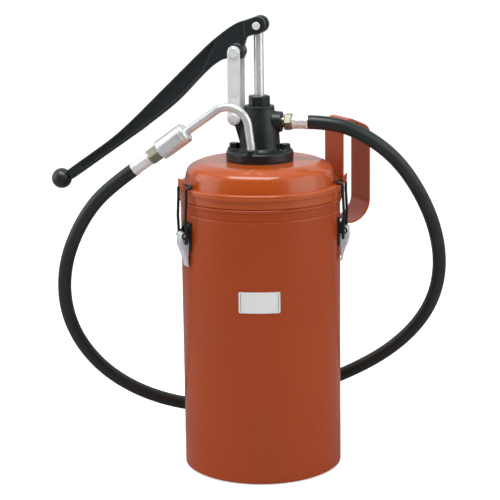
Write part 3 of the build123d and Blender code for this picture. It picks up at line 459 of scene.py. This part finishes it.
for node in ("bucket_shell", "bucket_base"):
    paint_node(node, body_enamel)

# ------------------------------------------------------------------ lid
# Domed lid pressed from sheet steel, with a rolled bead that holds its gasket and three
# welded hooks for the latches. It is enamelled with the bucket, but its paint is set lighter
# than the bucket's: painted light, standing in for the top light that it catches.
# Paint and Deep Paint here are lighter than the bucket's same enamel: painted light from the top lamp.
lid_enamel_painted_lighter = effect_material(
    "lid_enamel_painted_lighter",
    enamel_effect,
    {
        "Paint": (0.48, 0.082, 0.010, 1),
        "Deep Paint": (0.44, 0.073, 0.008, 1),
        "Roughness Low": 0.20,
        "Roughness High": 0.26,
        "Wave": 1.0,
    },
    depth=0.0002,
    Coat_Weight=0.3,
    Coat_Roughness=0.16,
)
paint_node("lid_dome", lid_enamel_painted_lighter)


def softened(node, name, material, edge_round):
    """A piece in a CAD node's place, with the sharp edges rounded over as real metal has them."""
    weld = 1e-6
    flat = radians(0.6)
    sharp = radians(26.0)
    form = bmesh.new()
    form.from_mesh(frame["nodes"][node].data)
    bmesh.ops.remove_doubles(form, verts=form.verts, dist=weld)
    bmesh.ops.dissolve_limit(form, angle_limit=flat, verts=form.verts, edges=form.edges)
    corners = [e for e in form.edges if len(e.link_faces) == 2 and e.calc_face_angle(0.0) > sharp]
    bmesh.ops.bevel(
        form,
        geom=corners,
        offset=edge_round,
        segments=3,
        profile=0.55,
        affect="EDGES",
        clamp_overlap=True,
    )
    for face in form.faces:
        face.smooth = True
    mesh = bpy.data.meshes.new(name)
    form.to_mesh(mesh)
    form.free()
    mesh.materials.append(material)
    piece = link_piece(name, mesh)
    normals = piece.modifiers.new("even_normals", "WEIGHTED_NORMAL")
    normals.keep_sharp = True
    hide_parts(node)
    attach(piece, frame["nodes"][node]["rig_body"])


softened("lid_lugs", "lid_hooks", lid_enamel_painted_lighter, edge_round=0.0006)

# ------------------------------------------------------------------ label
# Blank white enamelled plate, bent to the bucket's curve and bonded to its front.
# A thin raised border runs round it, and it carries no marking.
label_effect, label_in, label_out = effect_group(
    "printed_plate",
    {"Face": (0.8, 0.8, 0.8, 1), "Soil": (0.5, 0.5, 0.5, 1)},
    {"Color": COLOUR_OUT, "Roughness": VALUE_OUT, "Height": VALUE_OUT},
)
label_place = object_place(label_effect)
label_cloud = add_node(
    label_effect,
    "ShaderNodeTexNoise",
    {"Scale": 60.0, "Detail": 4.0},
    {"Vector": label_place},
)
label_grain = add_node(
    label_effect,
    "ShaderNodeTexNoise",
    {"Scale": 1500.0, "Detail": 2.0},
    {"Vector": label_place},
)
label_soil = add_span(label_effect, label_cloud.outputs["Fac"], 0.5, 0.75, 0.0, 0.35)
label_shade = add_blend(label_effect, label_soil, label_in.outputs["Face"], label_in.outputs["Soil"])
label_effect.links.new(label_shade, label_out.inputs["Color"])
label_effect.links.new(
    add_span(label_effect, label_cloud.outputs["Fac"], 0.3, 0.7, 0.32, 0.45),
    label_out.inputs["Roughness"],
)
label_effect.links.new(label_grain.outputs["Fac"], label_out.inputs["Height"])
label_white = effect_material(
    "label_white",
    label_effect,
    {"Face": (0.78, 0.79, 0.79, 1), "Soil": (0.62, 0.61, 0.58, 1)},
    depth=0.00002,
)
label_keyline = effect_material(
    "label_keyline",
    label_effect,
    {"Face": (0.20, 0.21, 0.22, 1), "Soil": (0.14, 0.14, 0.14, 1)},
    depth=0.00002,
)
paint_node("label_plate", label_white)
bucket_radius = 0.1145
label_thickness = 0.0006
label_out_radius = bucket_radius + label_thickness
label_turn = radians(280.5)
label_half = (0.029, 0.015)
label_low, label_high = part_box("label_plate")
label_middle = (label_low.z + label_high.z) / 2
border_inset = 0.0022
border_width = 0.0007
border_height = 0.00025
border_sunk = 0.00005
border_corner = 0.0016
border_steps = 6
border_outline = []
for corner, (side, level) in enumerate(((1, 1), (-1, 1), (-1, -1), (1, -1))):
    centre = (
        side * (label_half[0] - border_inset - border_corner),
        level * (label_half[1] - border_inset - border_corner),
    )
    for step in range(border_steps + 1):
        turn = pi / 2 * (corner + step / border_steps)
        border_outline.append((centre, (cos(turn), sin(turn))))
border_section = ((0, 0), (0, border_height), (border_width, border_height), (border_width, 0))
border_form = bmesh.new()
border_rings = []
for centre, way in border_outline:
    ring = []
    for inset, lift in border_section:
        reach = border_corner - inset
        along, up = centre[0] + way[0] * reach, centre[1] + way[1] * reach
        turn = label_turn + along / label_out_radius
        radius = label_out_radius + lift - border_sunk
        ring.append(border_form.verts.new((radius * cos(turn), radius * sin(turn), label_middle + up)))
    border_rings.append(ring)
for ring, after in zip(border_rings, border_rings[1:] + border_rings[:1]):
    for place in range(len(border_section)):
        onward = (place + 1) % len(border_section)
        border_form.faces.new((ring[place], after[place], after[onward], ring[onward]))
bmesh.ops.recalc_face_normals(border_form, faces=border_form.faces)
border_mesh = bpy.data.meshes.new("label_border")
border_form.to_mesh(border_mesh)
border_form.free()
border_mesh.materials.append(label_keyline)
label_border = link_piece("label_border", border_mesh)
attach(label_border, "bucket")

# ------------------------------------------------------------------ pump head
# Iron sand casting: flange, column, outlet boss, link ear and nozzle socket in one piece.
# Its corners are rounded by the mould, and semi-gloss black enamel covers the cast grain.
cast_effect, cast_in, cast_out = effect_group(
    "cast_enamel",
    {
        "Paint": (0.02, 0.02, 0.02, 1),
        "Rubbed": (0.1, 0.1, 0.1, 1),
        "Rubbing": 0.5,
        "Grain Scale": 500.0,
        "Roughness": 0.35,
    },
    {"Color": COLOUR_OUT, "Roughness": VALUE_OUT, "Height": VALUE_OUT},
)
cast_place = object_place(cast_effect)
cast_grain = add_node(
    cast_effect,
    "ShaderNodeTexNoise",
    {"Detail": 4.0, "Roughness": 0.6},
    {"Vector": cast_place, "Scale": cast_in.outputs["Grain Scale"]},
)
cast_lumps = add_node(
    cast_effect,
    "ShaderNodeTexNoise",
    {"Scale": 120.0, "Detail": 3.0},
    {"Vector": cast_place},
)
cast_cloud = add_node(
    cast_effect,
    "ShaderNodeTexNoise",
    {"Scale": 30.0, "Detail": 5.0},
    {"Vector": cast_place},
)
cast_edge = cast_effect.nodes.new("ShaderNodeNewGeometry").outputs["Pointiness"]
cast_ridge = add_span(cast_effect, cast_edge, 0.53, 0.62, 0.0, 1.0)
cast_patch = add_span(cast_effect, cast_cloud.outputs["Fac"], 0.48, 0.7, 0.0, 1.0)
cast_worn = add_math(cast_effect, "MULTIPLY", cast_ridge, cast_patch)
cast_worn = add_math(cast_effect, "MULTIPLY", cast_worn, cast_in.outputs["Rubbing"])
cast_shade = add_blend(cast_effect, cast_worn, cast_in.outputs["Paint"], cast_in.outputs["Rubbed"])
cast_rough = add_math(
    cast_effect,
    "MULTIPLY",
    add_span(cast_effect, cast_cloud.outputs["Fac"], 0.3, 0.7, 0.85, 1.2),
    cast_in.outputs["Roughness"],
)
lump_share = 2.0
cast_height = add_math(
    cast_effect,
    "ADD",
    cast_grain.outputs["Fac"],
    add_math(cast_effect, "MULTIPLY", cast_lumps.outputs["Fac"], lump_share),
)
cast_effect.links.new(cast_shade, cast_out.inputs["Color"])
cast_effect.links.new(cast_rough, cast_out.inputs["Roughness"])
cast_effect.links.new(cast_height, cast_out.inputs["Height"])


def moulded(node, name, material, grid, rounds):
    """A casting in a CAD node's place: one even skin, with its corners rounded by the mould."""
    rough = link_piece(name + "_rough", frame["nodes"][node].data.copy())
    weld = rough.modifiers.new("weld", "WELD")
    weld.merge_threshold = 1e-6
    skin = rough.modifiers.new("skin", "REMESH")
    skin.mode = "VOXEL"
    skin.voxel_size = grid
    skin.use_smooth_shade = True
    ease = rough.modifiers.new("ease", "SMOOTH")
    ease.factor = 0.5
    ease.iterations = rounds
    bpy.context.view_layer.update()
    mesh = bpy.data.meshes.new_from_object(rough.evaluated_get(bpy.context.evaluated_depsgraph_get()))
    bpy.data.objects.remove(rough)
    mesh.name = name
    mesh.materials.clear()
    mesh.materials.append(material)
    piece = link_piece(name, mesh)
    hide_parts(node)
    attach(piece, frame["nodes"][node]["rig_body"])


head_enamel = effect_material(
    "head_black_enamel",
    cast_effect,
    {
        "Paint": (0.006, 0.011, 0.012, 1),
        "Rubbed": (0.07, 0.085, 0.085, 1),
        "Rubbing": 0.8,
        "Grain Scale": 420.0,
        "Roughness": 0.36,
    },
    depth=0.00034,
    Coat_Weight=0.1,
    Coat_Roughness=0.2,
)
moulded("pump_head", "head_casting", head_enamel, grid=0.0009, rounds=5)

# ------------------------------------------------------------------ head bolts and gland
# Three hexagon bolts with washers clamp the flange, and a hexagon gland nut squeezes the
# packing round the rod. All are machined steel under the same black enamel.
nut_enamel = effect_material(
    "nut_black_enamel",
    cast_effect,
    {
        "Paint": (0.007, 0.011, 0.012, 1),
        "Rubbed": (0.12, 0.14, 0.14, 1),
        "Rubbing": 0.5,
        "Grain Scale": 900.0,
        "Roughness": 0.28,
    },
    depth=0.00005,
    Coat_Weight=0.3,
    Coat_Roughness=0.12,
)
softened("head_bolts", "flange_bolts", nut_enamel, edge_round=0.0004)
softened("head_washers", "flange_washers", nut_enamel, edge_round=0.0003)
softened("gland_nut", "packing_gland", nut_enamel, edge_round=0.0008)

# ------------------------------------------------------------------ lever
# Iron casting with a rimmed web, a fork over the rod and a ball at the hand end.
# It has the head's black enamel, rubbed brighter along the rims where hands and links reach.
lever_enamel = effect_material(
    "lever_black_enamel",
    cast_effect,
    {
        "Paint": (0.012, 0.017, 0.019, 1),
        "Rubbed": (0.11, 0.12, 0.12, 1),
        "Rubbing": 0.8,
        "Grain Scale": 420.0,
        "Roughness": 0.36,
    },
    depth=0.0002,
    Coat_Weight=0.2,
    Coat_Roughness=0.2,
)
moulded("lever_casting", "lever_arm", lever_enamel, grid=0.0009, rounds=4)

# ------------------------------------------------------------------ rod, links and pins
# The rod is ground and polished steel. The two links are sheared from flat bar and zinc
# plated, as are the three headed pins, and plain spring clips hold the pins at the back.
plated_effect, plated_in, plated_out = effect_group(
    "bright_plate",
    {
        "Plate": (0.7, 0.7, 0.7, 1),
        "Dull Plate": (0.5, 0.5, 0.5, 1),
        "Line Scale X": 30.0,
        "Line Scale Y": 30.0,
        "Line Scale Z": 30.0,
        "Roughness Low": 0.15,
        "Roughness High": 0.3,
    },
    {"Color": COLOUR_OUT, "Roughness": VALUE_OUT, "Height": VALUE_OUT},
)
plated_place = object_place(plated_effect)
plated_stretch = plated_effect.nodes.new("ShaderNodeCombineXYZ")
for axis in "XYZ":
    plated_effect.links.new(plated_in.outputs["Line Scale " + axis], plated_stretch.inputs[axis])
plated_scaled = plated_effect.nodes.new("ShaderNodeVectorMath")
plated_scaled.operation = "MULTIPLY"
plated_effect.links.new(plated_place, plated_scaled.inputs[0])
plated_effect.links.new(plated_stretch.outputs[0], plated_scaled.inputs[1])
plated_lines = add_node(
    plated_effect,
    "ShaderNodeTexNoise",
    {"Scale": 1.0, "Detail": 3.0},
    {"Vector": plated_scaled.outputs[0]},
)
plated_cloud = add_node(
    plated_effect,
    "ShaderNodeTexNoise",
    {"Scale": 55.0, "Detail": 5.0},
    {"Vector": plated_place},
)
plated_dull = add_span(plated_effect, plated_cloud.outputs["Fac"], 0.45, 0.75, 0.0, 0.8)
plated_shade = add_blend(
    plated_effect,
    plated_dull,
    plated_in.outputs["Plate"],
    plated_in.outputs["Dull Plate"],
)
plated_mixed = add_math(
    plated_effect,
    "MULTIPLY",
    add_math(plated_effect, "ADD", plated_cloud.outputs["Fac"], plated_lines.outputs["Fac"]),
    0.5,
)
plated_rough = add_span(
    plated_effect,
    plated_mixed,
    0.35,
    0.65,
    plated_in.outputs["Roughness Low"],
    plated_in.outputs["Roughness High"],
)
plated_effect.links.new(plated_shade, plated_out.inputs["Color"])
plated_effect.links.new(plated_rough, plated_out.inputs["Roughness"])
plated_effect.links.new(plated_lines.outputs["Fac"], plated_out.inputs["Height"])


def plated(name, plate, dull, lines, roughness, depth, metallic=1.0):
    """A metal finish with fine lines, close together along the axes where their scale is high."""
    values = {"Plate": (*plate, 1), "Dull Plate": (*dull, 1)}
    for axis, scale in zip("XYZ", lines):
        values["Line Scale " + axis] = scale
    values["Roughness Low"], values["Roughness High"] = roughness
    return effect_material(name, plated_effect, values, depth, Metallic=metallic)


rod_steel = plated(
    "rod_polished_steel",
    (0.86, 0.88, 0.89),
    (0.80, 0.82, 0.83),
    lines=(40, 40, 2600),
    roughness=(0.20, 0.28),
    depth=0.000003,
    metallic=0.6,
)
paint_node("plunger_rod", rod_steel)
link_zinc = plated(
    "link_bright_zinc",
    (0.90, 0.92, 0.91),
    (0.78, 0.82, 0.80),
    lines=(1800, 200, 60),
    roughness=(0.28, 0.40),
    depth=0.00001,
    metallic=0.3,
)
softened("link_near", "near_link_bar", link_zinc, edge_round=0.0007)
softened("link_far", "far_link_bar", link_zinc, edge_round=0.0007)
pin_zinc = plated(
    "pin_bright_zinc",
    (0.90, 0.92, 0.92),
    (0.78, 0.80, 0.80),
    lines=(900, 900, 900),
    roughness=(0.24, 0.36),
    depth=0.00001,
    metallic=0.35,
)
for node, name in (
    ("rod_pin", "rod_cross_pin"),
    ("fulcrum_pin", "lever_fulcrum_pin"),
    ("link_base_pin", "link_foot_pin"),
):
    softened(node, name, pin_zinc, edge_round=0.0004)
clip_steel = plated(
    "clip_spring_steel",
    (0.46, 0.47, 0.48),
    (0.3, 0.3, 0.3),
    lines=(700, 700, 700),
    roughness=(0.24, 0.4),
    depth=0.00001,
)
for node, name in (
    ("rod_pin_clip", "rod_spring_clip"),
    ("fulcrum_pin_clip", "fulcrum_spring_clip"),
    ("link_base_pin_clip", "foot_spring_clip"),
):
    softened(node, name, clip_steel, edge_round=0.00025)

# ------------------------------------------------------------------ hose fittings
# Yellow-passivated steel nipple and hexagon nuts screw into the head and the nozzle.
# Pale zinc ferrules are crimped onto the hose ends by eight dies, which leave flats.
brass_tone = plated(
    "fitting_yellow_zinc",
    (0.38, 0.36, 0.28),
    (0.28, 0.26, 0.19),
    lines=(300, 300, 300),
    roughness=(0.28, 0.40),
    depth=0.000006,
)
softened("outlet_adapter", "outlet_nipple", brass_tone, edge_round=0.0003)
softened("outlet_hose_nut", "outlet_hexagon", brass_tone, edge_round=0.0005)
softened("nozzle_hose_nut", "nozzle_hexagon", brass_tone, edge_round=0.0005)


def turned(name, start, along, profile, material, flats=0, flat_depth=0.0, flat_zone=(0.0, 0.0)):
    """A turned piece: stations of (distance, radius) along an axis, with crimp flats in one zone."""
    sides = 96
    crease = radians(32)
    flat_curve = 1.5
    along = Vector(along).normalized()
    across = along.orthogonal().normalized()
    upward = along.cross(across)
    form = bmesh.new()
    rings = []
    for distance, radius in profile:
        ring = []
        for side in range(sides):
            turn = 2 * pi * side / sides
            pressed = 0.0
            if flats and flat_zone[0] <= distance <= flat_zone[1]:
                pressed = flat_depth * abs(cos(turn * flats / 2)) ** flat_curve
            reach = radius - pressed
            outward = across * cos(turn) + upward * sin(turn)
            ring.append(form.verts.new(Vector(start) + along * distance + outward * reach))
        rings.append(ring)
    for ring, after in zip(rings, rings[1:] + rings[:1]):
        for side in range(sides):
            onward = (side + 1) % sides
            form.faces.new((ring[side], ring[onward], after[onward], after[side]))
    bmesh.ops.recalc_face_normals(form, faces=form.faces)
    for edge in form.edges:
        edge.smooth = edge.calc_face_angle(0.0) < crease
    for face in form.faces:
        face.smooth = True
    mesh = bpy.data.meshes.new(name)
    form.to_mesh(mesh)
    form.free()
    mesh.materials.append(material)
    return link_piece(name, mesh)


ferrule_radius = 0.0102
ferrule_bore = 0.0041
ferrule_zinc = plated(
    "ferrule_pale_zinc",
    (0.92, 0.89, 0.88),
    (0.80, 0.77, 0.75),
    lines=(160, 160, 160),
    roughness=(0.28, 0.40),
    depth=0.000004,
    metallic=0.4,
)


def ferrule_profile(length):
    """Stations of a crimped ferrule: a rolled front edge, the crimped barrel and a flared mouth."""
    return (
        (0.0, ferrule_bore),
        (0.0, ferrule_radius - 0.0016),
        (0.0005, ferrule_radius - 0.0007),
        (0.0014, ferrule_radius - 0.0001),
        (0.0034, ferrule_radius),
        (0.0046, ferrule_radius - 0.0005),
        (0.0052, ferrule_radius - 0.0003),
        (length - 0.0062, ferrule_radius - 0.0003),
        (length - 0.0052, ferrule_radius - 0.0003),
        (length - 0.0036, ferrule_radius),
        (length - 0.0012, ferrule_radius),
        (length, ferrule_radius - 0.0002),
        (length, ferrule_bore),
    )


outlet_low, outlet_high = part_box("outlet_ferrule")
outlet_start = Vector((outlet_low.x, 0.0, (outlet_low.z + outlet_high.z) / 2))
outlet_length = outlet_high.x - outlet_low.x
nozzle_pitch = radians(35.5)
nozzle_along = Vector((-cos(nozzle_pitch), 0.0, -sin(nozzle_pitch)))
nozzle_ferrule_length = 0.032
nozzle_ferrule_start = Vector(hose_route[-1]) - nozzle_along * nozzle_ferrule_length
crimp_margin = 0.0050
for name, node, start, along, length in (
    ("outlet_crimp", "outlet_ferrule", outlet_start, (1, 0, 0), outlet_length),
    ("nozzle_crimp", "nozzle_ferrule", nozzle_ferrule_start, nozzle_along, nozzle_ferrule_length),
):
    crimp = turned(
        name,
        start,
        along,
        ferrule_profile(length),
        ferrule_zinc,
        flats=8,
        flat_depth=0.0007,
        flat_zone=(crimp_margin, length - crimp_margin),
    )
    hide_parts(node)
    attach(crimp, "bucket")

# ------------------------------------------------------------------ nozzle
# Bent steel delivery tube, stowed in the socket on the flange, with a thick turned sleeve
# that the hand holds. Both are bright zinc, finely turned along the sleeve.
nozzle_zinc = plated(
    "nozzle_bright_zinc",
    (0.84, 0.86, 0.86),
    (0.70, 0.73, 0.73),
    lines=(120, 120, 120),
    roughness=(0.24, 0.34),
    depth=0.000004,
    metallic=0.6,
)
paint_node("nozzle_tube", nozzle_zinc)
sleeve_length = 0.049
sleeve_radius = 0.015
sleeve_bore = 0.0038
sleeve_nut_length = 0.016
sleeve_start = nozzle_ferrule_start - nozzle_along * (sleeve_nut_length + sleeve_length)
sleeve = turned(
    "nozzle_grip_sleeve",
    sleeve_start,
    nozzle_along,
    (
        (0.0, sleeve_bore),
        (0.0, sleeve_radius - 0.0032),
        (0.0006, sleeve_radius - 0.0022),
        (0.0022, sleeve_radius - 0.0004),
        (0.0030, sleeve_radius),
        (0.0062, sleeve_radius),
        (0.0066, sleeve_radius - 0.0004),
        (0.0074, sleeve_radius - 0.0004),
        (0.0078, sleeve_radius),
        (sleeve_length - 0.0028, sleeve_radius),
        (sleeve_length - 0.0018, sleeve_radius - 0.0004),
        (sleeve_length - 0.0004, sleeve_radius - 0.0020),
        (sleeve_length, sleeve_radius - 0.0028),
        (sleeve_length, sleeve_bore),
    ),
    nozzle_zinc,
)
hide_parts("nozzle_sleeve")
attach(sleeve, "bucket")

# ------------------------------------------------------------------ latches
# Three over-centre draw latches: a riveted bracket, a pressed zinc lever and a dark wire
# bail, bowed outward, that hooks over the lid's bead and springs tight as the lever closes.
latch_zinc = plated(
    "latch_bright_zinc",
    (0.86, 0.89, 0.93),
    (0.70, 0.73, 0.77),
    lines=(500, 500, 120),
    roughness=(0.24, 0.36),
    depth=0.00001,
    metallic=0.5,
)
bracket_dark = effect_material(
    "bracket_dark_oxide",
    cast_effect,
    {
        "Paint": (0.020, 0.022, 0.026, 1),
        "Rubbed": (0.22, 0.23, 0.24, 1),
        "Rubbing": 0.8,
        "Grain Scale": 1400.0,
        "Roughness": 0.3,
    },
    depth=0.00003,
    Metallic=0.4,
)
softened("latch_bases", "latch_brackets", bracket_dark, edge_round=0.0004)
paint_node("latch_rivets", latch_zinc)
softened("latch_pivot_pins", "latch_hinge_pins", latch_zinc, edge_round=0.0004)
for place in ("right", "left", "rear"):
    softened("latch_lever_" + place, "latch_handle_" + place, latch_zinc, edge_round=0.0006)
    paint_node("latch_bail_" + place, bracket_dark)

# ------------------------------------------------------------------ carry handle
# Flat steel strap, 50 by 3 mm, bent to a tall loop and riveted to the bucket at its foot.
# Its sheared edges are dressed round before enamelling.
handle_enamel = effect_material(
    "handle_enamel",
    enamel_effect,
    {
        "Paint": (0.44, 0.068, 0.013, 1),
        "Deep Paint": (0.39, 0.058, 0.010, 1),
        "Roughness Low": 0.22,
        "Roughness High": 0.32,
        "Wave": 2.0,
    },
    depth=0.00025,
    Coat_Weight=0.2,
    Coat_Roughness=0.12,
)
softened("carry_handle", "handle_strap", handle_enamel, edge_round=0.0011)
paint_node("handle_rivets", handle_enamel)

# ------------------------------------------------------------------ inside the bucket
# Machined steel tube, brass-toned valve parts, leather cup, bearing balls and rubber seals.
# They hang in the oil and show only when the pump is taken apart.
inner_steel = plated(
    "inner_machined_steel",
    (0.50, 0.50, 0.49),
    (0.36, 0.35, 0.33),
    lines=(200, 200, 900),
    roughness=(0.26, 0.42),
    depth=0.00001,
)
for node in ("pump_tube", "backing_ring", "piston_ball", "foot_ball", "ball_stop_pin", "strainer"):
    paint_node(node, inner_steel)
for node in ("piston_body", "piston_nut", "foot_valve_body"):
    paint_node(node, brass_tone)
seal_material = effect_material(
    "seal_black_rubber",
    rubber_effect,
    {
        "Rubber": (0.02, 0.02, 0.02, 1),
        "Dust": (0.05, 0.05, 0.05, 1),
        "Roughness Low": 0.45,
        "Roughness High": 0.6,
    },
    depth=0.00005,
)
for node in ("lid_gasket", "head_gasket", "rod_packing"):
    paint_node(node, seal_material)
cup_material = effect_material(
    "cup_oiled_leather",
    rubber_effect,
    {
        "Rubber": (0.17, 0.09, 0.045, 1),
        "Dust": (0.25, 0.15, 0.08, 1),
        "Roughness Low": 0.4,
        "Roughness High": 0.6,
    },
    depth=0.0001,
)
paint_node("piston_cup", cup_material)
